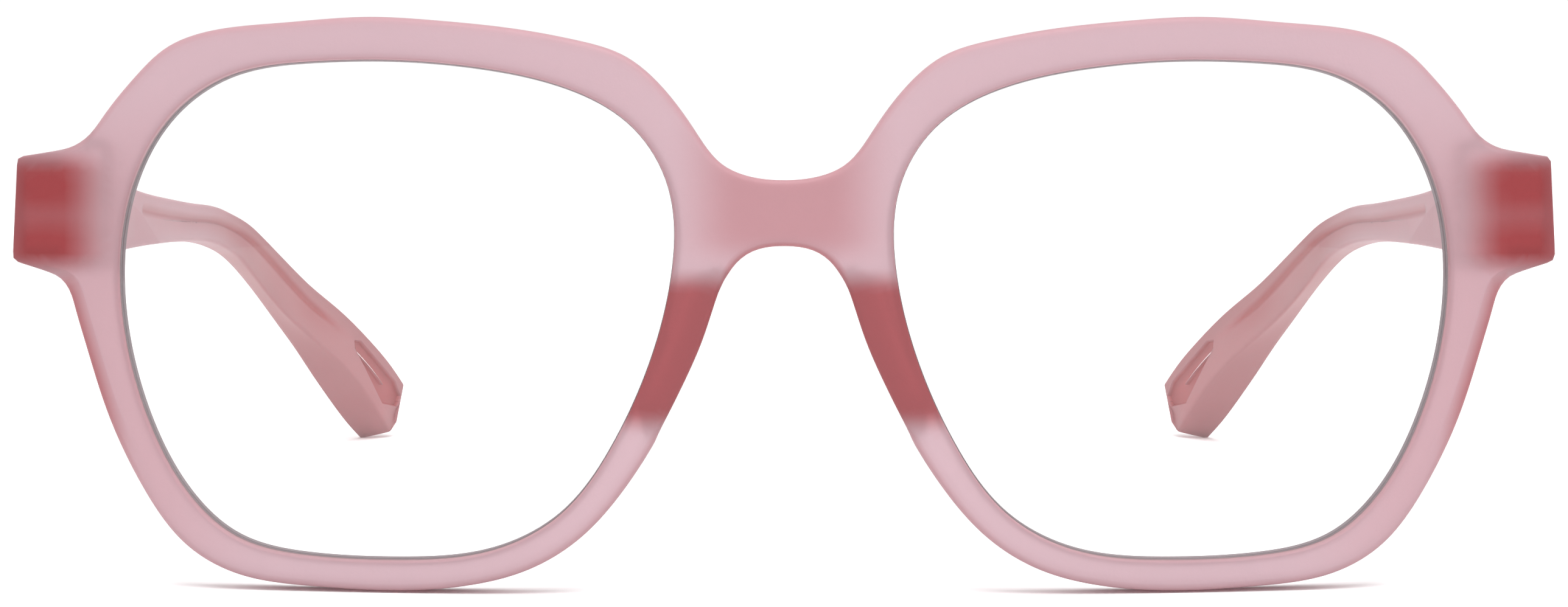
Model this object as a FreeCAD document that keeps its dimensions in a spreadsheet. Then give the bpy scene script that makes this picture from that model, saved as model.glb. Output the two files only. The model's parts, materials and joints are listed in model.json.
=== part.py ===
import FreeCAD, Part

import math
import os

import Sketcher

# A pair of plastic-framed glasses, standing open on the lower rims and the two temple tips.
#
# Everything is drawn in the front's own axes: x to the wearer's left, y backwards from the middle of the
# bridge, z up from the lowest point of the rims. The stand placement then leans the whole pair back until
# the temple tips touch the table, and puts the row's origin on the table under the middle of the pair.

vector = FreeCAD.Vector
doc = FreeCAD.newDocument("glasses")

# ---------------------------------------------------------------- driving dimensions (mm and degrees)

DIMENSIONS = {
    # stand
    "lean_angle": 2.42,
    "stand_lift": 0.27,
    "middle_depth": 72.4,
    # front
    "front_width": 144.0,
    "front_height": 52.9,
    "front_radius": 300.0,
    "front_depth": 4.0,
    "end_block_face": 13.0,
    "end_block_inner": 62.9,
    "end_block_depth": 4.0,
    "edge_round": 0.8,
    "pad_slope": 25.0,
    # lenses
    "lens_centre": 35.9,
    "lens_centre_height": 25.8,
    "lens_wrap": 6.9,
    "lens_radius": 200.0,
    "lens_depth": 1.8,
    "lens_set_back": 2.25,
    "blank_radius": 33.0,
    "groove_depth": 0.6,
    "groove_gap": 0.03,
    # temples
    "temple_gap": 0.2,
    "toe_in": 4.8,
    "temple_round": 0.9,
    "relief_depth": 0.25,
    "line_below_top": 1.8,
    "line_width": 0.6,
    # hinges
    "hinge_offset": 65.3,
    "hinge_behind": 15.0,
    "hinge_height": 35.15,
    "barrel_radius": 1.6,
    "stack_height": 6.4,
    "knuckle_height": 2.16,
    "knuckle_gap": 0.07,
    "leaf_depth": 0.9,
    "front_leaf_height": 7.4,
    "front_leaf_width": 6.8,
    "front_leaf_tail": 1.2,
    "temple_leaf_height": 5.6,
    "temple_leaf_length": 10.0,
    "temple_leaf_tail": 0.7,
    "temple_leaf_offset": 1.94,
    "web_width": 1.5,
    "web_overlap": 0.2,
    "screw_radius": 0.6,
    "running_clearance": 0.05,
    "head_radius": 1.1,
    "head_height": 0.6,
    "slot_width": 0.3,
    "slot_depth": 0.25,
}

sheet = doc.addObject("Spreadsheet::Sheet", "dims")
for row, (alias, value) in enumerate(DIMENSIONS.items(), start=1):
    sheet.set(f"A{row}", alias)
    sheet.set(f"B{row}", str(value))
    sheet.setAlias(f"B{row}", alias)
doc.recompute()


def dim(alias):
    return float(getattr(sheet, alias))


# ---------------------------------------------------------------- placements


def stand():
    """The lean that puts the temple tips on the table, with the origin under the middle."""
    lean = FreeCAD.Rotation(vector(1, 0, 0), -dim("lean_angle"))
    return FreeCAD.Placement(vector(0, -dim("middle_depth"), dim("stand_lift")), lean)


def placed(x, y, z, turn=0.0):
    """A placement in the front's axes, turned about the vertical, carried by the stand."""
    local = FreeCAD.Placement(vector(x, y, z), FreeCAD.Rotation(vector(0, 0, 1), turn))
    return stand().multiply(local)


# ---------------------------------------------------------------- drawing helpers


def new_body(name, placement=None):
    body = doc.addObject("PartDesign::Body", name)
    body.Label = name
    body.Placement = placement or stand()
    return body


def origin_plane(body, role):
    return [feature for feature in body.Origin.OriginFeatures if feature.Role == role][0]


def new_sketch(body, name, role, shift=0.0):
    """A sketch on one of the body's own origin planes, moved by shift along the plane's normal."""
    sketch = body.newObject("Sketcher::SketchObject", name)
    sketch.AttachmentSupport = [(origin_plane(body, role), "")]
    sketch.MapMode = "FlatFace"
    sketch.AttachmentOffset = FreeCAD.Placement(vector(0, 0, shift), FreeCAD.Rotation())
    return sketch


def add_line(sketch, start, end):
    return sketch.addGeometry(Part.LineSegment(vector(*start, 0), vector(*end, 0)), False)


def add_loop(sketch, corners):
    """A closed run of straight lines, with its corners tied together."""
    lines = [add_line(sketch, start, end) for start, end in zip(corners, corners[1:] + corners[:1])]
    for line, after in zip(lines, lines[1:] + lines[:1]):
        sketch.addConstraint(Sketcher.Constraint("Coincident", line, 2, after, 1))
    return lines


def add_rectangle(sketch, low, high, width, height):
    """A rectangle fixed at its low corner; width and height are expressions of the sheet."""
    corners = [(low[0], low[1]), (high[0], low[1]), (high[0], high[1]), (low[0], high[1])]
    lines = add_loop(sketch, corners)
    for line in (lines[0], lines[2]):
        sketch.addConstraint(Sketcher.Constraint("Horizontal", line))
    for line in (lines[1], lines[3]):
        sketch.addConstraint(Sketcher.Constraint("Vertical", line))
    sketch.addConstraint(Sketcher.Constraint("DistanceX", -1, 1, lines[0], 1, low[0]))
    sketch.addConstraint(Sketcher.Constraint("DistanceY", -1, 1, lines[0], 1, low[1]))
    bind(sketch, Sketcher.Constraint("DistanceX", lines[0], 1, lines[0], 2, high[0] - low[0]), width)
    bind(sketch, Sketcher.Constraint("DistanceY", lines[1], 1, lines[1], 2, high[1] - low[1]), height)


def bind(sketch, constraint, expression):
    index = sketch.addConstraint(constraint)
    sketch.setExpression(f"Constraints[{index}]", expression)


def add_circle(sketch, radius, expression):
    circle = sketch.addGeometry(Part.Circle(vector(0, 0, 0), vector(0, 0, 1), radius), False)
    sketch.addConstraint(Sketcher.Constraint("Coincident", circle, 3, -1, 1))
    bind(sketch, Sketcher.Constraint("Radius", circle, radius), expression)


def add_spline(sketch, points, closed=False):
    curve = Part.BSplineCurve()
    curve.interpolate(Points=[vector(x, y, 0) for x, y in points], PeriodicFlag=closed)
    return sketch.addGeometry(curve, False)


def add_arc(sketch, start, middle, end):
    return sketch.addGeometry(Part.Arc(vector(*start, 0), vector(*middle, 0), vector(*end, 0)), False)


def add_surround(sketch):
    """The outer edge of a trimming cut, well outside the outline that it leaves standing."""
    reach = 2 * dim("front_width")
    add_loop(sketch, [(-reach, -reach), (reach, -reach), (reach, reach), (-reach, reach)])


def pad(body, name, sketch, length, both_ways=False, backwards=False):
    feature = body.newObject("PartDesign::Pad", name)
    feature.Profile = sketch
    feature.setExpression("Length", length)
    feature.Midplane = both_ways
    feature.Reversed = backwards
    return feature


def pocket_through(body, name, sketch):
    """A cut that runs through the whole body, both ways from its sketch."""
    feature = body.newObject("PartDesign::Pocket", name)
    feature.Profile = sketch
    feature.Midplane = True
    feature.setExpression("Length", "4 * dims.front_width")
    return feature


def pocket(body, name, sketch, depth, backwards=False):
    feature = body.newObject("PartDesign::Pocket", name)
    feature.Profile = sketch
    feature.Reversed = backwards
    feature.setExpression("Length", depth)
    return feature


def round_edges(body, name, radius, wanted):
    """Round the edges of the body's last feature that the wanted test picks."""
    base = body.Tip
    picked = [f"Edge{index}" for index, edge in enumerate(base.Shape.Edges, start=1) if wanted(edge)]
    feature = body.newObject("PartDesign::Fillet", name)
    feature.Base = (base, picked)
    feature.setExpression("Radius", radius)
    doc.recompute()
    return feature


def cut(name, base, tools):
    """The named sub-part: base with each tool's shape taken out of it."""
    tool = tools[0]
    if len(tools) > 1:
        tool = doc.addObject("Part::MultiFuse", f"{name}_tools")
        tool.Shapes = tools
    result = doc.addObject("Part::Cut", name)
    result.Base = base
    result.Tool = tool
    result.Label = name
    return result


def mirrored(points):
    return [(-x, y) for x, y in reversed(points)]


# ---------------------------------------------------------------- outlines (front view, wearer's left half)

# Upper edge of the front, from the middle of the bridge over the rim to the end piece.
UPPER_EDGE = [
    (3.2, 38.15),
    (5.6, 39.2),
    (8.2, 42.4),
    (11.5, 46.7),
    (14.6, 49.2),
    (18.8, 50.6),
    (25.0, 51.75),
    (32.0, 52.5),
    (38.4, 52.85),
    (46.4, 52.35),
    (53.3, 51.6),
    (57.3, 50.1),
    (60.2, 47.5),
    (63.3, 43.8),
    (66.0, 41.05),
]
BRIDGE_TOP = (0.0, 37.8)

# Lower edge, from the end piece under the rim and up the nose side to the middle of the bridge.
LOWER_EDGE = [
    (67.3, 29.4),
    (66.2, 26.3),
    (65.1, 22.6),
    (62.9, 16.0),
    (59.5, 9.2),
    (55.3, 3.9),
    (50.2, 1.25),
    (44.0, 0.35),
    (36.6, 0.0),
    (29.5, 0.45),
    (23.6, 1.95),
    (18.6, 5.0),
    (14.8, 9.2),
    (11.8, 13.8),
    (9.2, 18.8),
    (7.2, 23.4),
    (5.8, 27.6),
    (4.9, 29.5),
    (3.2, 31.1),
]
BRIDGE_UNDERSIDE = (0.0, 31.75)

# The end piece's rounded outer corners.
END_TOP = [(70.8, 40.15), (71.65, 39.85), (72.0, 39.0)]
END_BOTTOM = [(72.0, 31.2), (71.7, 30.4), (70.9, 30.05)]

# The visible lens opening.
OPENING = [
    (35.6, 48.85),
    (44.0, 48.75),
    (51.2, 47.55),
    (56.7, 43.9),
    (60.4, 37.6),
    (61.7, 30.0),
    (61.0, 22.3),
    (58.9, 15.3),
    (55.5, 9.1),
    (50.8, 4.85),
    (44.2, 3.15),
    (35.6, 2.8),
    (27.2, 3.65),
    (20.4, 7.2),
    (15.8, 13.3),
    (12.2, 21.3),
    (10.3, 29.0),
    (10.6, 37.2),
    (14.0, 42.8),
    (20.2, 46.35),
    (27.7, 48.1),
]

# The nose pad's sections, root to back: depth behind the bridge, centre, half length and half width.
PAD_SECTIONS = [
    (2.5, (10.7, 21.2), 6.9, 1.7),
    (7.0, (11.2, 21.5), 6.2, 1.6),
    (11.5, (12.5, 21.8), 4.6, 1.1),
]
PAD_POINTS = 12


def pad_outline(centre, half_length, half_width):
    """An egg-shaped pad section, its long axis along the slope of the nose side."""
    slope = math.radians(dim("pad_slope"))
    points = []
    for index in range(PAD_POINTS):
        angle = 2 * math.pi * index / PAD_POINTS
        along = half_length * math.sin(angle)
        across = half_width * math.cos(angle)
        x = centre[0] + across * math.cos(slope) - along * math.sin(slope)
        z = centre[1] + across * math.sin(slope) + along * math.cos(slope)
        points.append((x, z))
    return points


def opening_outline(side, grow):
    """The lens opening about the lens centre, widened all round by grow."""
    centre_x = dim("lens_centre")
    centre_z = dim("lens_centre_height")
    half_width = max(x for x, z in OPENING) - centre_x
    half_height = max(z for x, z in OPENING) - centre_z
    wide = (1 + grow / half_width) / math.cos(math.radians(dim("lens_wrap")))
    tall = 1 + grow / half_height
    points = [((x - centre_x) * wide, (z - centre_z) * tall) for x, z in OPENING]
    return points if side > 0 else mirrored(points)


# ---------------------------------------------------------------- front


def make_front_blank():
    """The front before the lens seats and hinge recesses are cut."""
    body = new_body("front_blank")

    # A curved band in plan, stood up to the full height.
    band = new_sketch(body, "front_band", "XY_Plane", -dim("front_depth"))
    outer = dim("front_radius")
    inner = outer - dim("front_depth")
    spread = math.asin((dim("front_width") / 2 + dim("front_depth")) / outer)
    ends = []
    arcs = ((outer, "dims.front_radius"), (inner, "dims.front_radius - dims.front_depth"))
    for radius, expression in arcs:
        left = (-radius * math.sin(spread), outer - radius * math.cos(spread))
        right = (radius * math.sin(spread), left[1])
        arc = add_arc(band, left, (0, outer - radius), right)
        ends.append((left, right))
        bind(band, Sketcher.Constraint("Radius", arc, radius), expression)
    add_line(band, ends[0][0], ends[1][0])
    add_line(band, ends[0][1], ends[1][1])
    pad(body, "front_wall", band, "dims.front_height + 2 * dims.front_depth")

    # The outline: two smooth edges, joined by the end pieces.
    outline = new_sketch(body, "front_outline", "XZ_Plane")
    add_surround(outline)
    add_spline(outline, mirrored(UPPER_EDGE) + [BRIDGE_TOP] + UPPER_EDGE)
    add_spline(outline, LOWER_EDGE + [BRIDGE_UNDERSIDE] + mirrored(LOWER_EDGE))
    for side in (-1, 1):
        top = [(side * x, z) for x, z in END_TOP]
        bottom = [(side * x, z) for x, z in END_BOTTOM]
        add_line(outline, (side * UPPER_EDGE[-1][0], UPPER_EDGE[-1][1]), top[0])
        add_arc(outline, *top)
        add_line(outline, top[2], bottom[0])
        add_arc(outline, *bottom)
        add_line(outline, bottom[2], (side * LOWER_EDGE[0][0], LOWER_EDGE[0][1]))
    pocket_through(body, "front_trim", outline)

    openings = new_sketch(body, "lens_openings", "XZ_Plane")
    for side in (-1, 1):
        add_spline(openings, [(side * x, z) for x, z in OPENING], closed=True)
    pocket_through(body, "lens_opening_cut", openings)
    doc.recompute()
    # The nose pads: one drawn out backwards from its rim, then mirrored across the bridge.
    sections = []
    for number, (depth, centre, half_length, half_width) in enumerate(PAD_SECTIONS, start=1):
        section = new_sketch(body, f"nose_pad_{number}", "XZ_Plane", -depth)
        add_spline(section, pad_outline(centre, half_length, half_width), closed=True)
        sections.append(section)
    doc.recompute()
    loft = body.newObject("PartDesign::AdditiveLoft", "nose_pad")
    loft.Profile = sections[0]
    loft.Sections = sections[1:]
    doc.recompute()
    mirror = body.newObject("PartDesign::Mirrored", "nose_pad_mirror")
    mirror.Originals = [loft]
    mirror.MirrorPlane = (origin_plane(body, "YZ_Plane"), [""])
    body.Tip = mirror
    doc.recompute()

    # The blocks behind the end pieces, with the flat faces that the temples meet.
    blocks = new_sketch(body, "end_blocks", "XZ_Plane", -dim("end_block_face"))
    blocks.setExpression("AttachmentOffset.Base.z", "-dims.end_block_face")
    low_z = END_BOTTOM[2][1]
    high_z = END_TOP[0][1]
    inner_x = dim("end_block_inner")
    for side in (-1, 1):
        corners = [(inner_x, low_z), (inner_x, high_z), END_TOP[0], END_TOP[2], END_BOTTOM[0], END_BOTTOM[2]]
        add_loop(blocks, [(side * x, z) for x, z in corners])
    pad(body, "end_block_pads", blocks, "dims.end_block_depth")
    doc.recompute()
    round_edges(body, "front_rounding", "dims.edge_round", runs_round_rim)
    return body


def runs_round_rim(edge):
    """True for the long edges that go round the rims and openings, front and back."""
    return edge.Length > dim("front_height")


# ---------------------------------------------------------------- lenses


def make_lens(name, side, gap=0.0):
    """A curved blank turned about its optical axis, then edged to the rim's groove."""
    turn = side * dim("lens_wrap")
    centre = (side * dim("lens_centre"), dim("lens_set_back"), dim("lens_centre_height"))
    body = new_body(name, placed(*centre, turn))
    front = dim("lens_radius")
    back = front - dim("lens_depth")
    reach = dim("blank_radius")
    front_sag = front - math.sqrt(front**2 - reach**2)
    back_sag = front - math.sqrt(back**2 - reach**2)
    depth = dim("lens_depth")

    profile = new_sketch(body, f"{name}_profile", "YZ_Plane")
    half = math.asin(reach / front) / 2
    middle_front = (front - front * math.cos(half), front * math.sin(half))
    middle_back = (front - back * math.cos(half), back * math.sin(half))
    add_arc(profile, (-gap, 0), (middle_front[0] - gap, middle_front[1]), (front_sag - gap, reach))
    add_arc(profile, (depth + gap, 0), (middle_back[0] + gap, middle_back[1]), (back_sag + gap, reach))
    add_line(profile, (front_sag - gap, reach), (back_sag + gap, reach))
    add_line(profile, (-gap, 0), (depth + gap, 0))
    blank = body.newObject("PartDesign::Revolution", f"{name}_blank")
    blank.Profile = profile
    blank.ReferenceAxis = (profile, ["H_Axis"])
    blank.Angle = 360

    edge = new_sketch(body, f"{name}_edge", "XZ_Plane")
    add_surround(edge)
    add_spline(edge, opening_outline(side, dim("groove_depth") + gap), closed=True)
    pocket_through(body, f"{name}_edging", edge)
    return body


# ---------------------------------------------------------------- hinges


def hinge_frame(side, turn=0.0):
    return placed(side * dim("hinge_offset"), dim("hinge_behind"), dim("hinge_height"), turn)


def make_front_leaf(name, side):
    """Two outer knuckles on a plate that is set into the end piece's back face."""
    body = new_body(name, hinge_frame(side))
    half_stack = dim("stack_height") / 2
    half_knuckle = dim("knuckle_height") / 2 + dim("knuckle_gap")
    face = dim("end_block_face") - dim("hinge_behind")
    half_web = dim("web_width") / 2
    low = -dim("front_leaf_tail")
    high = low + dim("front_leaf_width")
    if side < 0:
        low, high = -high, -low

    plate = new_sketch(body, f"{name}_plate", "XZ_Plane", -face)
    plate.setExpression("AttachmentOffset.Base.z", "dims.hinge_behind - dims.end_block_face")
    half_plate = dim("front_leaf_height") / 2
    add_rectangle(
        plate, (low, -half_plate), (high, half_plate), "dims.front_leaf_width", "dims.front_leaf_height"
    )
    pad(body, f"{name}_plate_pad", plate, "dims.leaf_depth")

    web = new_sketch(body, f"{name}_web", "XY_Plane", -half_stack)
    add_rectangle(web, (-half_web, face), (half_web, 0), "dims.web_width", "dims.hinge_behind - dims.end_block_face")
    pad(body, f"{name}_web_pad", web, "dims.stack_height")

    barrel = new_sketch(body, f"{name}_barrel", "XY_Plane", -half_stack)
    add_circle(barrel, dim("barrel_radius"), "dims.barrel_radius")
    pad(body, f"{name}_barrel_pad", barrel, "dims.stack_height")

    gap = new_sketch(body, f"{name}_gap", "YZ_Plane")
    reach = dim("barrel_radius") + dim("temple_gap")
    add_loop(gap, [(face, -half_knuckle), (reach, -half_knuckle), (reach, half_knuckle), (face, half_knuckle)])
    pocket_through(body, f"{name}_gap_cut", gap)

    bore = new_sketch(body, f"{name}_bore", "XY_Plane", half_stack)
    add_circle(bore, dim("screw_radius"), "dims.screw_radius")
    pocket(body, f"{name}_bore_cut", bore, "dims.stack_height")
    seat = new_sketch(body, f"{name}_seat", "XY_Plane", half_stack)
    add_circle(seat, dim("head_radius"), "dims.head_radius")
    pocket(body, f"{name}_seat_cut", seat, "dims.head_height")
    return body


def make_temple_leaf(name, side):
    """The middle knuckle on a plate that is set into the temple's inner face."""
    body = new_body(name, hinge_frame(side, side * dim("toe_in")))
    half_knuckle = dim("knuckle_height") / 2
    half_plate = dim("temple_leaf_height") / 2
    offset = dim("temple_leaf_offset")
    start = -dim("temple_leaf_tail")

    plate = new_sketch(body, f"{name}_plate", "YZ_Plane", side * offset)
    high = start + dim("temple_leaf_length")
    add_rectangle(
        plate, (start, -half_plate), (high, half_plate), "dims.temple_leaf_length", "dims.temple_leaf_height"
    )
    pad(body, f"{name}_plate_pad", plate, "dims.leaf_depth", backwards=side < 0)

    web = new_sketch(body, f"{name}_web", "XY_Plane", -half_knuckle)
    half_web = dim("web_width") / 2
    low, high = sorted((0, side * (offset + dim("web_overlap"))))
    reach = "dims.temple_leaf_offset + dims.web_overlap"
    add_rectangle(web, (low, -half_web), (high, half_web), reach, "dims.web_width")
    pad(body, f"{name}_web_pad", web, "dims.knuckle_height")

    barrel = new_sketch(body, f"{name}_barrel", "XY_Plane", -half_knuckle)
    add_circle(barrel, dim("barrel_radius"), "dims.barrel_radius")
    pad(body, f"{name}_barrel_pad", barrel, "dims.knuckle_height")

    bore = new_sketch(body, f"{name}_bore", "XY_Plane", half_knuckle)
    bore_radius = dim("screw_radius") + dim("running_clearance")
    add_circle(bore, bore_radius, "dims.screw_radius + dims.running_clearance")
    pocket(body, f"{name}_bore_cut", bore, "dims.knuckle_height")
    return body


def make_screw(name, side):
    """A slotted screw that is the hinge's pin: shank, head and driver slot."""
    body = new_body(name, hinge_frame(side))
    half_stack = dim("stack_height") / 2
    shank = new_sketch(body, f"{name}_shank", "XY_Plane", -half_stack)
    add_circle(shank, dim("screw_radius"), "dims.screw_radius")
    pad(body, f"{name}_shank_pad", shank, "dims.stack_height")
    head = new_sketch(body, f"{name}_head", "XY_Plane", half_stack)
    add_circle(head, dim("head_radius"), "dims.head_radius")
    pad(body, f"{name}_head_pad", head, "dims.head_height", backwards=True)
    slot = new_sketch(body, f"{name}_slot", "XY_Plane", half_stack)
    reach = 1.5 * dim("head_radius")  # well past the head's rim
    half_slot = dim("slot_width") / 2
    add_rectangle(slot, (-reach, -half_slot), (reach, half_slot), "3 * dims.head_radius", "dims.slot_width")
    pocket(body, f"{name}_slot_cut", slot, "dims.slot_depth")
    return body


# ---------------------------------------------------------------- temples

# Plan of the wearer's left temple: the inner face and the outer face, from the hinge end to the tip.
INNER_FACE = [(63.9, 60.0), (60.85, 97.0), (59.9, 105.0), (57.9, 115.0), (54.9, 125.0), (51.1, 135.0), (46.6, 145.5)]
OUTER_FACE = [(67.35, 60.0), (64.25, 97.0), (63.3, 105.0), (61.4, 115.0), (58.6, 125.0), (55.0, 135.0), (50.6, 145.5)]
INNER_START = 67.4
OUTER_START = 71.8

# Side view: (y, z) along the upper edge, round the tip, and back along the lower edge.
TEMPLE_TOP = [
    (30.0, 38.1),
    (47.5, 36.4),
    (60.5, 35.7),
    (80.0, 34.8),
    (90.0, 33.95),
    (99.5, 32.5),
    (107.5, 30.4),
    (114.2, 28.1),
    (122.3, 24.8),
    (129.5, 21.6),
    (136.4, 17.9),
    (140.7, 15.0),
    (143.5, 12.4),
]
TEMPLE_TIP = [(143.8, 10.9), (142.3, 7.4), (140.9, 5.75)]
TEMPLE_BOTTOM = [
    (138.5, 7.5),
    (134.1, 11.0),
    (129.3, 14.3),
    (124.6, 17.2),
    (119.1, 20.1),
    (113.2, 22.7),
    (106.4, 25.3),
    (98.3, 28.0),
    (88.9, 30.0),
    (80.0, 30.6),
    (60.0, 30.9),
    (46.0, 30.5),
    (30.0, 30.1),
]
LEAF_SIDE = [(142.4, 9.9), (142.0, 11.8), (138.4, 14.6), (134.4, 17.0), (136.3, 13.4), (139.2, 10.2)]
LINE_START = 2
LINE_END = 9
BUTT_TOP = 40.0
BUTT_BOTTOM = 30.2


def make_temple_blank(name, side):
    body = new_body(name)
    butt = dim("end_block_face") + dim("temple_gap")
    plan = new_sketch(body, f"{name}_plan", "XY_Plane")
    inner = [(INNER_START, butt)] + INNER_FACE
    outer = [(OUTER_START, butt)] + OUTER_FACE
    for points in (inner, outer):
        add_spline(plan, [(side * x, y) for x, y in points])
    for start, end in ((inner[0], outer[0]), (inner[-1], outer[-1])):
        add_line(plan, (side * start[0], start[1]), (side * end[0], end[1]))
    pad(body, f"{name}_band", plan, "dims.front_height")

    view = new_sketch(body, f"{name}_side", "YZ_Plane")
    add_surround(view)
    top = [(butt, BUTT_TOP)] + TEMPLE_TOP
    bottom = TEMPLE_BOTTOM + [(butt, BUTT_BOTTOM)]
    add_spline(view, top)
    tip = [top[-1]] + TEMPLE_TIP + [bottom[0]]
    for start, end in zip(tip, tip[1:]):
        add_line(view, start, end)
    add_spline(view, bottom)
    add_line(view, bottom[-1], top[0])
    pocket_through(body, f"{name}_trim", view)
    doc.recompute()
    round_edges(body, f"{name}_rounding", "dims.temple_round", runs_along_temple)
    return body


def runs_along_temple(edge):
    """True for the four long edges of a temple."""
    return edge.Length > dim("front_height")


def make_temple_relief(name, side):
    """The shallow moulded line and the leaf-shaped recess in a temple's inner face, as a cutting tool."""
    body = new_body(name)
    plan = new_sketch(body, f"{name}_plan", "XY_Plane")
    inner = [(INNER_START, dim("end_block_face"))] + INNER_FACE
    floor = [(x + dim("relief_depth"), y) for x, y in inner]
    surface = [(x - dim("relief_depth"), y) for x, y in inner]
    for points in (surface, floor):
        add_spline(plan, [(side * x, y) for x, y in points])
    for start, end in ((surface[0], floor[0]), (surface[-1], floor[-1])):
        add_line(plan, (side * start[0], start[1]), (side * end[0], end[1]))
    pad(body, f"{name}_band", plan, "dims.front_height")

    view = new_sketch(body, f"{name}_side", "YZ_Plane")
    add_surround(view)
    upper = [(y, z - dim("line_below_top")) for y, z in TEMPLE_TOP[LINE_START:LINE_END]]
    lower = [(y, z - dim("line_width")) for y, z in reversed(upper)]
    add_spline(view, upper)
    add_line(view, upper[-1], lower[0])
    add_spline(view, lower)
    add_line(view, lower[-1], upper[0])
    add_spline(view, LEAF_SIDE)
    add_line(view, LEAF_SIDE[-1], LEAF_SIDE[0])
    pocket_through(body, f"{name}_trim", view)
    return body


# ---------------------------------------------------------------- assembly

front_blank = make_front_blank()
nodes = []
front_tools = []
for side_name, side in (("left", 1), ("right", -1)):
    lens = make_lens(f"lens_{side_name}", side)
    seat = make_lens(f"lens_seat_{side_name}", side, dim("groove_gap"))
    front_leaf = make_front_leaf(f"hinge_front_leaf_{side_name}", side)
    temple_leaf = make_temple_leaf(f"hinge_temple_leaf_{side_name}", side)
    screw = make_screw(f"hinge_screw_{side_name}", side)
    blank = make_temple_blank(f"temple_blank_{side_name}", side)
    relief = make_temple_relief(f"temple_relief_{side_name}", side)
    temple = cut(f"temple_{side_name}", blank, [temple_leaf, relief])
    front_tools += [seat, front_leaf]
    nodes += [lens, front_leaf, temple_leaf, screw, temple]
nodes.append(cut("frame_front", front_blank, front_tools))
doc.recompute()

# ---------------------------------------------------------------- checks and export

for item in doc.Objects:
    if "Invalid" in item.State or "Error" in item.State:
        raise RuntimeError(f"{item.Name} failed: {item.State}")
for node in nodes:
    shape = node.Shape
    if shape.isNull() or not shape.isValid() or not shape.Solids:
        raise RuntimeError(f"{node.Label} has no valid solid")
    box = shape.BoundBox
    print(
        f"{node.Label}: {len(shape.Solids)} solid, {shape.Volume:.1f} mm3,"
        f" x {box.XMin:.2f}..{box.XMax:.2f} y {box.YMin:.2f}..{box.YMax:.2f} z {box.ZMin:.2f}..{box.ZMax:.2f}"
    )

os.makedirs("parts", exist_ok=True)
for node in nodes:
    node.Shape.exportStep(f"parts/{node.Label}.step")
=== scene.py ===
import json
import math

import bmesh
import bpy
import numpy as np
from mathutils import Matrix, Vector


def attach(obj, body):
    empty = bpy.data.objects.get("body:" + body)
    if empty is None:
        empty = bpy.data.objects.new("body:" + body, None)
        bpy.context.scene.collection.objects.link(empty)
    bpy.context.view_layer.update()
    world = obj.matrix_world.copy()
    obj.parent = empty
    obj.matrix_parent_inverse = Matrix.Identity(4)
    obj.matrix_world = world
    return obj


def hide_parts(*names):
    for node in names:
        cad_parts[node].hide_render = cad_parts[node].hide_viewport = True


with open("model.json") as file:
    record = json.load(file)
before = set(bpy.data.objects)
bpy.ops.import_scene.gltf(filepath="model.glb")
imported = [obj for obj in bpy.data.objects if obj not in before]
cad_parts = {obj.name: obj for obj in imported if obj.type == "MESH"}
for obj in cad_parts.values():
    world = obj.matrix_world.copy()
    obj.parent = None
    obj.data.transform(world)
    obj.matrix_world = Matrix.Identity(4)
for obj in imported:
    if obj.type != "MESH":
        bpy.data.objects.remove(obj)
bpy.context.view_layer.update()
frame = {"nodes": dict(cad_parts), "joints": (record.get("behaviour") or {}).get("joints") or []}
print("frame loaded:", len(frame["nodes"]), "nodes")

mm = 0.001

# the left hinge joint gives the front's lean and its place
# in the front's own axes, mm
hingeSpot = {"outFromMiddle": 65.3, "behindBridge": 15.0, "aboveRims": 35.15}


def makeStandMatrix():
    joint = [j for j in frame["joints"] if j["name"] == "temple_left_fold"][0]
    lean = math.atan2(joint["axis"][1], joint["axis"][2])
    turn = Matrix.Rotation(-lean, 4, "X") @ Matrix.Scale(mm, 4)
    spot = Vector((hingeSpot["outFromMiddle"], hingeSpot["behindBridge"], hingeSpot["aboveRims"]))
    return Matrix.Translation(Vector(joint["pos_m"]) - (turn @ spot)) @ turn


stand = makeStandMatrix()  # front axes in mm to the row frame in metres


def smoothStep(low, high, value):
    share = min(max((value - low) / (high - low), 0.0), 1.0)
    return share * share * (3 - 2 * share)


def mix(a, b, share):
    return a + (b - a) * share


# even steps along a smooth curve through the points
def splineThrough(points, count, closed=False):
    known = np.array(points, float)
    if closed:
        known = np.vstack([known, known[:1]])
    total = len(known)
    spans = np.linalg.norm(np.diff(known, axis=0), axis=1)
    system = np.zeros((total, total))
    right = np.zeros(known.shape)
    for i in range(1, total - 1):
        system[i, i - 1 : i + 2] = spans[i - 1], 2 * (spans[i - 1] + spans[i]), spans[i]
        right[i] = 6 * ((known[i + 1] - known[i]) / spans[i] - (known[i] - known[i - 1]) / spans[i - 1])
    if closed:
        system[0, [total - 2, 0, 1]] = spans[-1], 2 * (spans[-1] + spans[0]), spans[0]
        right[0] = 6 * ((known[1] - known[0]) / spans[0] - (known[0] - known[-2]) / spans[-1])
        system[-1, [0, total - 1]] = 1, -1
    else:
        system[0, 0] = system[-1, -1] = 1
    bend = np.linalg.solve(system, right)
    fine = []
    for i, span in enumerate(spans):
        for share in np.linspace(0, 1, 24, endpoint=False):
            a, b = 1 - share, share
            curve = ((a**3 - a) * bend[i] + (b**3 - b) * bend[i + 1]) * span**2 / 6
            fine.append(a * known[i] + b * known[i + 1] + curve)
    fine.append(known[-1])
    return evenSteps(np.array(fine), count, closed)


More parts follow.
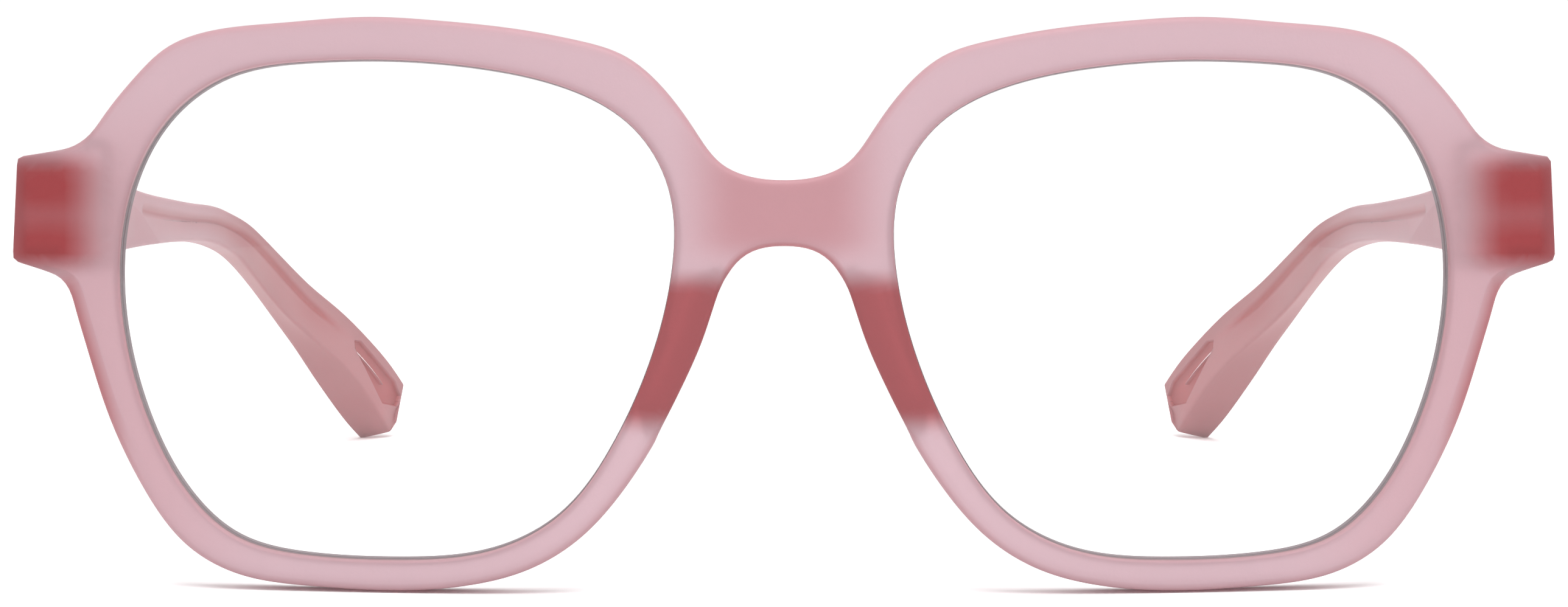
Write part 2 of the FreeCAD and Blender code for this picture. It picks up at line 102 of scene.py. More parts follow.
def evenSteps(line, count, closed=False):
    along = np.concatenate([[0], np.cumsum(np.linalg.norm(np.diff(line, axis=0), axis=1))])
    wanted = np.linspace(0, along[-1], count + (1 if closed else 0))
    if closed:
        wanted = wanted[:-1]
    return np.stack([np.interp(wanted, along, line[:, i]) for i in range(line.shape[1])], axis=1)


# corners are (x, y, radius); every corner gives the same number of points
def roundCorners(corners, segments):
    points = []
    for i in range(1, len(corners) - 1):
        before, here, after = (np.array(corners[j][:2], float) for j in (i - 1, i, i + 1))
        toBefore, toAfter = before - here, after - here
        lengthBefore, lengthAfter = np.linalg.norm(toBefore), np.linalg.norm(toAfter)
        radius = corners[i][2]
        cutBefore = here + toBefore / max(lengthBefore, 1e-9) * min(radius, 0.49 * lengthBefore)
        cutAfter = here + toAfter / max(lengthAfter, 1e-9) * min(radius, 0.49 * lengthAfter)
        for step in range(segments + 1):
            t = step / segments
            points.append((1 - t) ** 2 * cutBefore + 2 * t * (1 - t) * here + t**2 * cutAfter)
    first, last = np.array(corners[0][:2], float), np.array(corners[-1][:2], float)
    return [first] + points + [last]


def onlyKind(items, kind):
    return [item for item in items if isinstance(item, kind)]


def allVerts(faces):
    return set(vert for face in faces for vert in face.verts)


def allEdges(faces):
    return set(edge for face in faces for edge in face.edges)


# a tube of quads from rows of points, each row a closed ring
# it returns the first and the last ring of edges
def sweepRows(bm, rows):
    count = len(rows[0])
    station = bm.verts.layers.int.get("station") or bm.verts.layers.int.new("station")
    paintedDeepening = bm.verts.layers.float.get("paintedDeepening") or bm.verts.layers.float.new("paintedDeepening")
    ring = bmesh.ops.create_circle(bm, segments=count, radius=1)["verts"]
    for index, vert in enumerate(ring):
        vert[station] = index
        vert.co = rows[0][index][:3]
        vert[paintedDeepening] = rows[0][index][3]
    inRing = set(ring)
    firstEdges = [edge for edge in bm.edges if set(edge.verts) <= inRing]
    edges = firstEdges
    for row in rows[1:]:
        made = bmesh.ops.extrude_edge_only(bm, edges=edges)["geom"]
        newVerts = set(onlyKind(made, bmesh.types.BMVert))
        edges = [edge for edge in onlyKind(made, bmesh.types.BMEdge) if set(edge.verts) <= newVerts]
        for vert in newVerts:
            vert.co = row[vert[station]][:3]
            vert[paintedDeepening] = row[vert[station]][3]
    return firstEdges, edges


def newPiece(name, bm, materials, body, replaces, sharpAngle=None):
    bmesh.ops.remove_doubles(bm, verts=bm.verts, dist=1e-4)
    bmesh.ops.recalc_face_normals(bm, faces=bm.faces)
    bmesh.ops.transform(bm, matrix=stand, verts=bm.verts)
    mesh = bpy.data.meshes.new(name)
    for face in bm.faces:
        face.smooth = True
    if sharpAngle:
        for edge in bm.edges:
            if len(edge.link_faces) == 2 and edge.calc_face_angle(0) > math.radians(sharpAngle):
                edge.smooth = False
    bm.to_mesh(mesh)
    bm.free()
    piece = bpy.data.objects.new(name, mesh)
    bpy.context.scene.collection.objects.link(piece)
    for material in materials:
        mesh.materials.append(material)
    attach(piece, body)
    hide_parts(*replaces)
    print(name, "made:", len(mesh.vertices), "points,", len(mesh.polygons), "faces")
    return piece


# outlines of the front, wearer's left half, in mm: out from the middle, up from the rims' lowest point
outline = {
    "bridgeTop": (0.0, 37.8),
    "upper": [
        (3.2, 38.15), (5.6, 39.2), (8.2, 42.4), (11.5, 46.7), (14.6, 49.2), (18.8, 50.6), (25.0, 51.75),
        (32.0, 52.5), (38.4, 52.85), (46.4, 52.35), (53.3, 51.6), (57.3, 50.1), (60.2, 47.5), (63.3, 43.8),
        (65.0, 41.75), (66.5, 40.9), (68.4, 40.45), (71.0, 40.05),
    ],
    "endCorners": [(71.6, 39.95), (72.05, 30.3)],
    "lower": [
        (71.0, 29.95), (68.9, 29.3), (67.5, 28.6), (66.6, 27.4), (66.1, 25.9), (65.1, 22.6), (62.9, 16.0),
        (59.5, 9.2), (55.3, 3.9), (50.2, 1.25), (44.0, 0.35), (36.6, 0.0), (29.5, 0.45), (23.6, 1.95),
        (18.6, 5.0), (14.8, 9.2), (11.8, 13.8), (9.2, 18.8), (7.2, 23.4), (5.8, 27.6), (4.9, 29.5),
        (3.2, 31.1),
    ],
    "bridgeUnderside": (0.0, 31.75),
    "opening": [
        (35.6, 48.85), (44.0, 48.75), (51.2, 47.55), (56.7, 43.9), (60.4, 37.6), (61.7, 30.0), (61.0, 22.3),
        (58.9, 15.3), (55.5, 9.1), (50.8, 4.85), (44.2, 3.15), (35.6, 2.8), (27.2, 3.65), (20.4, 7.2),
        (15.8, 13.3), (12.2, 21.3), (10.3, 29.0), (10.6, 37.2), (14.0, 42.8), (20.2, 46.35), (27.7, 48.1),
    ],
}


def mirrorPoints(points):
    return [(-x, z) for x, z in reversed(points)]


# the whole front's outer edge as one ring of points, clockwise from the right end piece
def outerLoop(spacing):
    upper = mirrorPoints(outline["upper"]) + [outline["bridgeTop"]] + outline["upper"]
    lower = outline["lower"] + [outline["bridgeUnderside"]] + mirrorPoints(outline["lower"])
    upperLine = splineThrough(upper, 1600)
    lowerLine = splineThrough(lower, 1600)
    corners = []
    for side in (1, -1):
        ends = [(side * x, z) for x, z in outline["endCorners"]]
        start, stop = (upperLine[-1], lowerLine[0]) if side > 0 else (lowerLine[-1], upperLine[0])
        ends = ends if side > 0 else ends[::-1]
        run = [(*start, 0), (*ends[0], 0.55), (*ends[1], 0.8), (*stop, 0)]
        corners.append(np.array(roundCorners(run, 8)))
    ring = np.vstack([upperLine, corners[0][1:-1], lowerLine, corners[1][1:-1]])
    length = np.sum(np.linalg.norm(np.diff(ring, axis=0), axis=1))
    return evenSteps(np.vstack([ring, ring[:1]]), int(length / spacing), closed=True)


# unit normals of a ring of points, to the right of its direction
def inwardNormals(ring):
    step = np.roll(ring, -1, axis=0) - np.roll(ring, 1, axis=0)
    step /= np.linalg.norm(step, axis=1)[:, None]
    return np.stack([step[:, 1], -step[:, 0]], axis=1)


frontSettings = {
    "radius": 300.0,  # plan curve of the front
    "depth": 4.0,
    "spacing": 0.62,  # of points along the edges
    "frontRound": 1.0,
    "backRound": 0.8,
    "bridgeRound": 0.75,
    "endRound": 0.4,
    "edgeBand": 1.55,  # width of the rows that follow the outer edge
    "creaseDrop": 0.75,
    "openingRound": 0.28,
    "openingBand": 0.62,
    "grooveDepth": 0.6,
    "padReach": 7.4,
    "blockFace": 12.93,  # flat back of the end pieces
    "gridStep": 1.25,  # of the points on the front and back faces
    "gridRuns": {0: (-72, 72), 2: (1, 52)},
    "blockOut": (62.0, 64.2),  # where the end blocks begin, out, above their low edge, up to their top
    "blockLow": (29.3, 30.3),
    "blockTop": (40.6, 41.6),
}
frontTints = {  # how far each place goes from the thin colour (0) to the deep one (1), as painted shade and painted depth of light
    # painted shade: rounded edges, crease band, under the bridge, bands on the end blocks, lower outer
    # sides, bridge, opening edge and wall; painted depth of light through thick plastic: end pieces, nose
    # pads
    "rounding": 0.34,
    "creaseShade": 0.45,
    "underBridgeShade": 0.35,
    "end": 0.86,
    "blocks": 0.16,
    "pad": 0.86,
    "side": 0.16,
    "bridge": 0.42,
    "openingEdgeShade": 0.3,
    "openingWallShade": 0.15,
}
lensSettings = {
    "centreOut": 35.9,
    "centreUp": 25.8,
    "wrap": 6.9,
    "radius": 200.0,
    "thickness": 2.3,
    "setBack": 2.25,
    "gap": 0.02,
    "tuck": 0.5,  # how far the bevel's ridge goes into the groove
    "taper": 0.12,  # how much smaller the back is
    "rings": 10,
    "points": 200,
}


def frontDepth(x):
    radius = frontSettings["radius"]
    return radius - math.sqrt(radius * radius - x * x)


# how far back the lens's front surface is at a place on the front
def lensDepth(x, z):
    side = 1 if x > 0 else -1
    out = (abs(x) - lensSettings["centreOut"]) / math.cos(math.radians(lensSettings["wrap"]))
    up = z - lensSettings["centreUp"]
    radius = lensSettings["radius"]
    dish = radius - math.sqrt(radius * radius - out * out - up * up)
    slope = math.tan(math.radians(lensSettings["wrap"]))
    return lensSettings["setBack"] + (abs(x) - lensSettings["centreOut"]) * slope + dish


# what the outer edge is like at a place on it
def edgeShape(x, z):
    x = abs(x)
    isEnd = smoothStep(66.4, 68.6, x)
    isBridge = 1 - smoothStep(5.0, 9.5, x) if z > 28 else 0.0
    isPad = smoothStep(13.6, 16.2, z) * (1 - smoothStep(27.0, 29.4, z)) if x < 17 else 0.0
    isCrease = (1 - smoothStep(28.6, 29.6, z)) * smoothStep(8.0, 19.0, z) if x > 50 else 0.0
    return isEnd, isBridge, isPad, isCrease


# (in from the edge, back from the front) round the outer edge at one place
def outerSection(x, z):
    s = frontSettings
    isEnd, isBridge, isPad, isCrease = edgeShape(x, z)
    depth = s["depth"]
    band = mix(s["edgeBand"], 0.62, isEnd)
    frontRound = mix(mix(s["frontRound"], s["bridgeRound"], isBridge), s["endRound"], isEnd)
    backRound = mix(s["backRound"], s["endRound"], isEnd)
    reach = isPad * s["padReach"]
    corners = [
        (band + 0.02, 0, 0),
        (band * 0.93, 0, 0.16),
        (0, isCrease * s["creaseDrop"], mix(frontRound, 0.35, isCrease)),
        (isPad * 2.1, depth + reach, mix(backRound, 0.6, isPad)),
        (mix(band * 0.62, 3.75, isPad), depth + reach, mix(0.05, 0.7, isPad)),
        (mix(band * 0.9, 2.9, isPad), depth, mix(0.05, 1.2, isPad)),
        (mix(band, 3.4, isPad), depth, 0),
    ]
    return roundCorners(corners, 5)


# painted shade near the outer edge: deeper where the light comes a longer way through the rounding, in the
# crease band that faces down and out, and under the bridge
def edgeTint(x, z, inSet):
    isEnd, isBridge, isPad, isCrease = edgeShape(x, z)
    rounded = 1 - smoothStep(0.0, 0.9, inSet)
    underBridgeShade = isBridge if z < 34 else 0.25 * isBridge
    slope = isCrease * (1 - smoothStep(1.15, 1.5, inSet))
    t = frontTints
    paintedDeepening = t["rounding"] * rounded + t["creaseShade"] * slope + t["underBridgeShade"] * underBridgeShade * rounded
    return paintedDeepening * (1 - isEnd)


# painted deeper colour where the plastic is thick, over the end blocks and the nose pads, for the light's
# long way through it; painted shade in bands across the end blocks, on the lower outer sides and on the
# bridge
def zoneTint(x, z):
    t = frontTints
    x = abs(x)
    end = smoothStep(61.2, 67.4, x) * smoothStep(28.0, 31.0, z) * (1 - smoothStep(38.6, 41.4, z))
    blocks = smoothStep(34.0, 36.8, z) * (1 - smoothStep(37.6, 40.2, z))
    blocks += smoothStep(29.4, 31.4, z) * (1 - smoothStep(32.0, 35.0, z))
    end *= t["end"] + t["blocks"] * blocks * (1 - smoothStep(70.2, 72.2, x))
    pad = smoothStep(14.2, 16.8, z) * (1 - smoothStep(27.4, 30.0, z)) if x < 18 else 0.0
    side = t["side"] * smoothStep(46.0, 60.0, x) * (1 - smoothStep(36.0, 48.0, z))
    bridge = t["bridge"] * (1 - smoothStep(4.0, 11.0, x)) * smoothStep(29.0, 33.0, z)
    return max(end, t["pad"] * pad, side, bridge)


# divides each straight span into its own number of parts
def divideSpans(points, counts):
    made = [points[0]]
    for here, after, count in zip(points, points[1:], counts):
        for part in range(1, count + 1):
            made.append(here + (after - here) * part / count)
    return made


def outerRows():
    ring = outerLoop(frontSettings["spacing"])
    inward = inwardNormals(ring)
    smoothInward = inward.copy()
    for _ in range(6):
        ahead, behind = np.roll(smoothInward, 1, axis=0), np.roll(smoothInward, -1, axis=0)
        smoothInward = (smoothInward + ahead + behind) / 3
    smoothInward /= np.linalg.norm(smoothInward, axis=1)[:, None]
    sections = [outerSection(x, z) for x, z in ring]
    counts = [1] * (len(sections[0]) - 1)
    counts[12] = 3  # the front corner to the back corner
    sections = [divideSpans(section, counts) for section in sections]
    rows = []
    for step in range(len(sections[0])):
        row = []
        for (x, z), normal, soft, section in zip(ring, inward, smoothInward, sections):
            inSet, back = section[step]
            way = normal * max(0, 1 - inSet / 0.8) + soft * min(1, inSet / 0.8)
            row.append((x + way[0] * inSet, back, z + way[1] * inSet, edgeTint(x, z, inSet)))
        rows.append(np.array(row))
    return rows


def openingRows(side):
    s = frontSettings
    points = [(side * x, z) for x, z in outline["opening"]]
    if side < 0:
        points = points[::-1]
    ring = splineThrough(points, 250, closed=True)
    outward = -inwardNormals(ring)
    rows = []
    sections = []
    for x, z in ring:
        lensFront = lensDepth(x, z) - frontDepth(x)
        lensBack = min(lensFront + lensSettings["thickness"], s["depth"] - 0.3)
        middle = (lensFront + lensBack) / 2
        corners = [
            (s["openingBand"], 0, 0),
            (0, 0, s["openingRound"]),
            (0, lensFront + 0.35, 0.1),
            (s["grooveDepth"], middle, 0.05),
            (0, lensBack - 0.35, 0.1),
            (0.05, s["depth"], s["openingRound"]),
            (s["openingBand"], s["depth"], 0),
        ]
        sections.append(roundCorners(corners, 3))
    for step in range(len(sections[0])):
        row = []
        for (x, z), normal, section in zip(ring, outward, sections):
            inSet, back = section[step]
            # painted shade: deeper at the opening's front edge and back along its inner wall
            paintedDeepening = frontTints["openingEdgeShade"] * (1 - smoothStep(0.0, 0.4, inSet))
            paintedDeepening += frontTints["openingWallShade"] * smoothStep(0.4, 1.2, back)
            row.append((x + normal[0] * inSet, back, z + normal[1] * inSet, paintedDeepening))
        rows.append(np.array(row))
    return rows


def makeFrontMoulding(material):
    s = frontSettings
    bm = bmesh.new()
    frontEdges, backEdges = sweepRows(bm, outerRows())
    frontRings, backRings = list(frontEdges), list(backEdges)
    for side in (1, -1):
        first, last = sweepRows(bm, openingRows(side))
        frontRings += first
        backRings += last
    for rings in (frontRings, backRings):
        made = bmesh.ops.triangle_fill(bm, use_beauty=True, edges=rings, normal=(0, 1, 0))["geom"]
        faces = onlyKind(made, bmesh.types.BMFace)
        for axis, (low, high) in s["gridRuns"].items():
            place = low
            while place < high:
                spot, way = Vector((0, 0, 0)), Vector((0, 0, 0))
                spot[axis], way[axis] = place, 1
                live = [face for face in faces if face.is_valid]
                geom = list(allVerts(live)) + list(allEdges(live)) + live
                cut = bmesh.ops.bisect_plane(bm, geom=geom, dist=1e-3, plane_co=spot, plane_no=way)
                faces = onlyKind(cut["geom"], bmesh.types.BMFace)
                place += s["gridStep"]
    paintedDeepening = bm.verts.layers.float["paintedDeepening"]
    for vert in bm.verts:
        x, back, z = vert.co
        vert[paintedDeepening] = max(vert[paintedDeepening], zoneTint(x, z))
        isBlock = smoothStep(*s["blockOut"], abs(x)) * smoothStep(*s["blockLow"], z)
        isBlock *= 1 - smoothStep(*s["blockTop"], z)
        blockBack = s["blockFace"] - frontDepth(x) - s["depth"]
        vert.co.y = back + frontDepth(x) + isBlock * blockBack * min(back / s["depth"], 1)
    bmesh.ops.triangulate(bm, faces=[face for face in bm.faces if len(face.verts) > 4])
    return newPiece("frontMoulding", bm, [material], "front", ["frame_front"])


def makeLens(name, side, node, clear, edgeShade):
    s = lensSettings
    points = [(side * x, z) for x, z in outline["opening"]]
    edge = splineThrough(points if side > 0 else points[::-1], s["points"], closed=True)
    centre = np.array([side * s["centreOut"], s["centreUp"]])
    outward = -inwardNormals(edge)
    rings = [math.sin(math.pi / 2 * (ring + 1) / s["rings"]) for ring in range(s["rings"])]
    steps = [(share, -s["gap"], 0.0) for share in rings]
    steps += [(1, -s["gap"], 0.3), (1, s["tuck"], 0.5), (1, -s["gap"], 0.7)]
    steps += [(share, -s["taper"], 1.0) for share in rings[::-1]]
    rows = []
    for share, reach, back in steps:
        row = []
        for point, normal in zip(edge, outward):
            x, z = centre + (point + normal * reach - centre) * share
            row.append((x, lensDepth(x, z) + back * s["thickness"], z, 0.0))
        rows.append(np.array(row))
    bm = bmesh.new()
    ends = [bmesh.ops.contextual_create(bm, geom=rings)["faces"] for rings in sweepRows(bm, rows)]
    bmesh.ops.poke(bm, faces=ends[0] + ends[1])
    for face in bm.faces:
        depths = [(vert.co.y - lensDepth(vert.co.x, vert.co.z)) / s["thickness"] for vert in face.verts]
        # edge faces get the ground edge, darkened with painted shade
        face.material_index = 1 if max(depths) - min(depths) > 0.1 else 0
    return newPiece(name, bm, [clear, edgeShade], "front", [node], sharpAngle=30)


templeSettings = {
    "stations": 170,
    "innerFace": [
        (12.0, 67.5), (60.0, 63.9), (97.0, 60.85), (105.0, 59.9), (115.0, 57.9), (125.0, 54.9),
        (135.0, 51.1), (145.5, 46.6), (153.0, 43.4),
    ],
    "outerFace": [
        (12.0, 71.9), (60.0, 67.35), (97.0, 64.25), (105.0, 63.3), (115.0, 61.4), (125.0, 58.6),
        (135.0, 55.0), (145.5, 50.6), (153.0, 47.4),
    ],
    "top": [
        (13.2, 40.0), (30.0, 38.1), (47.5, 36.45), (60.5, 35.7), (73.7, 35.1), (83.0, 34.7), (90.0, 33.95),
        (99.5, 32.55), (107.5, 30.45), (114.2, 28.1), (122.3, 24.8), (129.5, 21.7), (136.4, 17.9),
        (140.7, 15.1), (144.5, 12.0), (150.0, 7.0),
    ],
    "innerBottom": [
        (13.2, 30.5), (30.0, 30.6), (44.3, 31.0), (60.0, 31.2), (70.0, 31.15), (78.2, 30.85), (86.8, 30.0),
        (95.6, 28.2), (102.0, 26.1), (109.1, 23.4), (114.5, 21.3), (119.9, 19.3), (126.0, 16.8),
        (133.2, 13.0), (138.2, 8.9), (144.5, 3.0),
    ],
    "outerBottom": [
        (13.2, 30.2), (30.0, 30.1), (46.0, 30.5), (60.0, 30.8), (75.0, 30.9), (81.0, 30.7), (88.9, 30.1),
        (98.3, 28.75), (106.4, 26.5), (113.2, 23.6), (119.1, 20.4), (124.6, 17.2), (129.3, 13.9),
        (134.1, 10.3), (138.5, 7.15), (144.5, 3.7),
    ],
    "lineDepth": 0.3,  # of the moulded line
    "lineWidth": 0.8,
    "lineBelowTop": [(40.0, 1.9), (80.0, 2.0), (110.0, 2.2), (122.0, 2.6), (132.0, 2.6)],
    "lineRun": (44.5, 133.0),
    "lineShade": 0.45,
    "leafDepth": 0.4,
    "leafWall": 0.24,
    "leafFloorShade": 0.08,
    "leafEdgeShade": 0.3,
    "facetSlope": 0.14,
    "edgeRound": 0.2,  # of the cut edges at both ends
}
tipCuts = [  # a place on each cut and the way out of the plastic, for the wearer's left temple
    {"spot": (48.75, 140.5, 6.15), "way": (-0.22, 0.53, -0.82)},
    {"spot": (48.0, 142.3, 7.45), "way": (-0.36, 0.85, -0.38)},
]
tipRidge = [(139.0, 9.95), (140.4, 6.3)]  # the upper end and the lower end, on the inner face
leafOutline = [  # back from the bridge, up; on the inner face
    (132.3, 18.1), (132.4, 17.1), (134.9, 14.5), (136.9, 12.3), (139.0, 9.95), (142.7, 9.35),
    (143.3, 10.7), (142.1, 12.6), (137.9, 15.4), (134.0, 17.9),
]
innerTip = {"way": (0.92, 0.39), "slope": 0.43, "out": 51.1, "behind": 135.0, "from": 129.0}


def throughY(line, y):
    return float(np.interp(y, line[:, 0], line[:, 1]))


# painted depth of colour: it deepens slowly towards the tip, and strongly at the hinge end
def templeTint(y):
    return 0.23 + 0.5 * smoothStep(72.0, 108.0, y) + 0.3 * (1 - smoothStep(18.0, 34.0, y))


def makeTempleRows(side):
    s = templeSettings
    edges = {name: splineThrough(s[name], s["stations"]) for name in ("top", "innerBottom", "outerBottom")}
    inner = splineThrough(s["innerFace"], 400)
    outer = splineThrough(s["outerFace"], 400)
    below = np.array(s["lineBelowTop"])
    rows = []
    for top, lowIn, lowOut in zip(edges["top"], edges["innerBottom"], edges["outerBottom"]):
        height = np.linalg.norm(top - lowIn)
        start, stop = s["lineRun"]
        dip = s["lineDepth"] * smoothStep(start, start + 1.0, top[0])
        dip *= 1 - smoothStep(stop - 10, stop, top[0])
        line = 1 - throughY(below, top[0]) / height
        half = s["lineWidth"] / 2 / height
        thick = throughY(outer, top[0]) - throughY(inner, top[0])
        belly = smoothStep(13.2, 30.0, top[0]) * (1 - smoothStep(120.0, 136.0, top[0]))
        corners = [  # share of the height, across, rounding
            (0.5, 0, 0),
            (line - 1.6 * half, 0, 0.35),
            (line, dip, 0.22),
            (line + 1.6 * half, 0, 0.35),
            (1, 0, mix(0.5, 1.0, belly)),
            (1, thick, mix(0.5, 1.2, belly)),
            (0.5, thick + 0.15 * belly, 2.0),
            (0, thick, mix(0.5, 1.2, belly)),
            (0, mix(0.6, 1.1, belly), 0.4),
            (0, 0, mix(0.4, 0.7, belly)),
            (0.5, 0, 0),
        ]
        flat = [(share * height, across, radius) for share, across, radius in corners]
        deeper = templeTint(top[0])
        row = []
        for up, across in roundCorners(flat, 5)[:-1]:
            share = up / height
            tilt = min(across / thick, 1) * (1 - share)
            y, z = lowIn + (top - lowIn) * share + (lowOut - lowIn) * tilt
            # painted shade in the moulded line along the inner face
            inLine = max(0, 1 - abs(share - line) / (2.2 * half)) if across < thick / 2 else 0.0
            shade = deeper + s["lineShade"] * inLine * dip / s["lineDepth"]
            row.append((side * (throughY(inner, y) + across), y, z, shade))
        rows.append(np.array(row))
    return rows


def wayInto(side):
    return Vector((side * innerTip["way"][0], innerTip["way"][1], 0.0))


def innerNearTip(bm, side):
    wayIn = wayInto(side)
    near = [face for face in bm.faces if face.calc_center_median().y > innerTip["from"]]
    return [face for face in near if face.normal.dot(wayIn) < -0.7]


# cuts the inner face near the tip along a straight line, and takes nothing away
def scoreInner(bm, side, here, after):
    wayBack, wayUp = after[0] - here[0], after[1] - here[1]
    way = Vector((-side * innerTip["slope"] * wayBack, wayBack, wayUp)).cross(wayInto(side))
    spot = Vector((side * (innerTip["out"] - innerTip["slope"] * (here[0] - innerTip["behind"])), *here))
    faces = innerNearTip(bm, side)
    geom = list(allVerts(faces)) + list(allEdges(faces)) + faces
    bmesh.ops.bisect_plane(bm, geom=geom, dist=0.01, plane_co=spot, plane_no=way)
    bm.normal_update()
    return spot, way.normalized()


def isInLeaf(y, z):
    inside = False
    for (y0, z0), (y1, z1) in zip(leafOutline, leafOutline[1:] + leafOutline[:1]):
        if (z0 > z) != (z1 > z) and y < (y1 - y0) * (z - z0) / (z1 - z0) + y0:
            inside = not inside
    return inside


# a shallow leaf-shaped recess in the inner face, and the flat facet below it
def cutLeaf(bm, side):
    s = templeSettings
    for here, after in zip(leafOutline, leafOutline[1:] + leafOutline[:1]):
        scoreInner(bm, side, here, after)
    spot, way = scoreInner(bm, side, *tipRidge)
    way = way if way.y > 0 else -way
    for vert in allVerts(innerNearTip(bm, side)):
        beyond = (vert.co - spot).dot(way)
        if beyond > 0.02:
            vert.co += wayInto(side) * s["facetSlope"] * beyond * (1 - smoothStep(8.6, 9.9, vert.co.z))
    bm.normal_update()
    centres = [(face, face.calc_center_median()) for face in innerNearTip(bm, side)]
    leaf = [face for face, centre in centres if isInLeaf(centre.y, centre.z)]
    leaf = bmesh.ops.dissolve_faces(bm, faces=leaf, use_verts=False)["region"]
    ring = bmesh.ops.inset_region(bm, faces=leaf, thickness=s["leafWall"], depth=-s["leafDepth"],
                                  use_even_offset=True, use_boundary=True)["faces"]
    # painted shade on the recess floor, deeper still along its edge
    paintedDeepening = bm.verts.layers.float["paintedDeepening"]
    floorVerts = allVerts(leaf)
    for vert in floorVerts:
        vert[paintedDeepening] += s["leafFloorShade"]
    for vert in allVerts(ring) & floorVerts:
        vert[paintedDeepening] += s["leafEdgeShade"]
    bm.normal_update()


def cutTip(bm, side, cut):
    spot = Vector((side * cut["spot"][0], *cut["spot"][1:]))
    way = Vector((side * cut["way"][0], *cut["way"][1:])).normalized()
    geom = list(bm.verts) + list(bm.edges) + list(bm.faces)
    made = bmesh.ops.bisect_plane(bm, geom=geom, dist=1e-4, plane_co=spot, plane_no=way, clear_outer=True)
    bmesh.ops.edgeloop_fill(bm, edges=onlyKind(made["geom_cut"], bmesh.types.BMEdge))
    bm.normal_update()


# an edge at the hinge end or at the tip that is sharp enough to be rounded
def isSharpEnd(edge):
    backs = [vert.co.y for vert in edge.verts]
    if min(backs) <= 129 and max(backs) >= 13.6:
        return False
    return len(edge.link_faces) == 2 and edge.calc_face_angle(0) > math.radians(24)


def makeTemple(name, side, node, body, material):
    bm = bmesh.new()
    for rings in sweepRows(bm, makeTempleRows(side)):
        bmesh.ops.contextual_create(bm, geom=rings)
    bmesh.ops.recalc_face_normals(bm, faces=bm.faces)
    for cut in tipCuts:
        cutTip(bm, side, cut)
    sharp = [edge for edge in bm.edges if isSharpEnd(edge)]
    bmesh.ops.bevel(bm, geom=sharp, offset=templeSettings["edgeRound"], segments=3, profile=0.5,
                    affect="EDGES", material=-1, clamp_overlap=True)
    bm.normal_update()
    cutLeaf(bm, side)
    bmesh.ops.dissolve_degenerate(bm, dist=1e-3, edges=bm.edges)
    bmesh.ops.holes_fill(bm, edges=[edge for edge in bm.edges if edge.is_boundary], sides=6)
    bmesh.ops.triangulate(bm, faces=[face for face in bm.faces if len(face.verts) > 4])
    return newPiece(name, bm, [material], body, [node], sharpAngle=50)


def newMaterial(name):
    material = bpy.data.materials.new(name)
    material.use_nodes = True
    return material, material.node_tree.nodes["Principled BSDF"]


# fine frost: a height for bump and a mask for roughness, both on object coordinates
def makeGrainGroup():
    group = bpy.data.node_groups.new("frostGrain", "ShaderNodeTree")
    for name, flow in (("Size", "INPUT"), ("Height", "OUTPUT"), ("Cloud", "OUTPUT")):
        group.interface.new_socket(name=name, in_out=flow, socket_type="NodeSocketFloat")
    nodes, links = group.nodes, group.links
    inside, outside = nodes.new("NodeGroupInput"), nodes.new("NodeGroupOutput")
    place = nodes.new("ShaderNodeTexCoord")
    fine, broad = nodes.new("ShaderNodeTexNoise"), nodes.new("ShaderNodeTexNoise")
    fine.inputs["Detail"].default_value = 2.0
    broad.inputs["Scale"].default_value = 90.0
    broad.inputs["Detail"].default_value = 1.0
    for noise in (fine, broad):
        links.new(place.outputs["Object"], noise.inputs["Vector"])
    links.new(inside.outputs["Size"], fine.inputs["Scale"])
    links.new(fine.outputs["Fac"], outside.inputs["Height"])
    links.new(broad.outputs["Fac"], outside.inputs["Cloud"])
    return group


plasticSettings = {
    "thin": (0.595, 0.435, 0.48, 1),  # colour of the plain rims
    "deep": (0.36, 0.036, 0.042, 1),  # colour mixed in where the plastic is thick, for the light's long way through it, and where shade is painted
    "absorbs": (0.85, 0.45, 0.47, 1),
    "density": 70.0,
    "clearness": 0.55,
    "roughness": 0.5,
    "grainSize": 2600.0,
}


# fine grain in the roughness and the bump
def addGrain(material, shader, grain, size, roughness, spread, strength, height):
    nodes, links = material.node_tree.nodes, material.node_tree.links
    frost = nodes.new("ShaderNodeGroup")
    frost.node_tree = grain
    frost.inputs["Size"].default_value = size
    rough = nodes.new("ShaderNodeMapRange")
    rough.inputs["To Min"].default_value = roughness - spread
    rough.inputs["To Max"].default_value = roughness + spread
    links.new(frost.outputs["Cloud"], rough.inputs["Value"])
    links.new(rough.outputs["Result"], shader.inputs["Roughness"])
    bump = nodes.new("ShaderNodeBump")
    bump.inputs["Strength"].default_value = strength
    bump.inputs["Distance"].default_value = height
    links.new(frost.outputs["Height"], bump.inputs["Height"])
    links.new(bump.outputs["Normal"], shader.inputs["Normal"])
    return frost


def addColourMix(material, shader, factor, first, second):
    ramp = material.node_tree.nodes.new("ShaderNodeMix")
    ramp.data_type = "RGBA"
    ramp.inputs["A"].default_value = first
    ramp.inputs["B"].default_value = second
    material.node_tree.links.new(factor, ramp.inputs["Factor"])
    material.node_tree.links.new(ramp.outputs["Result"], shader.inputs["Base Color"])


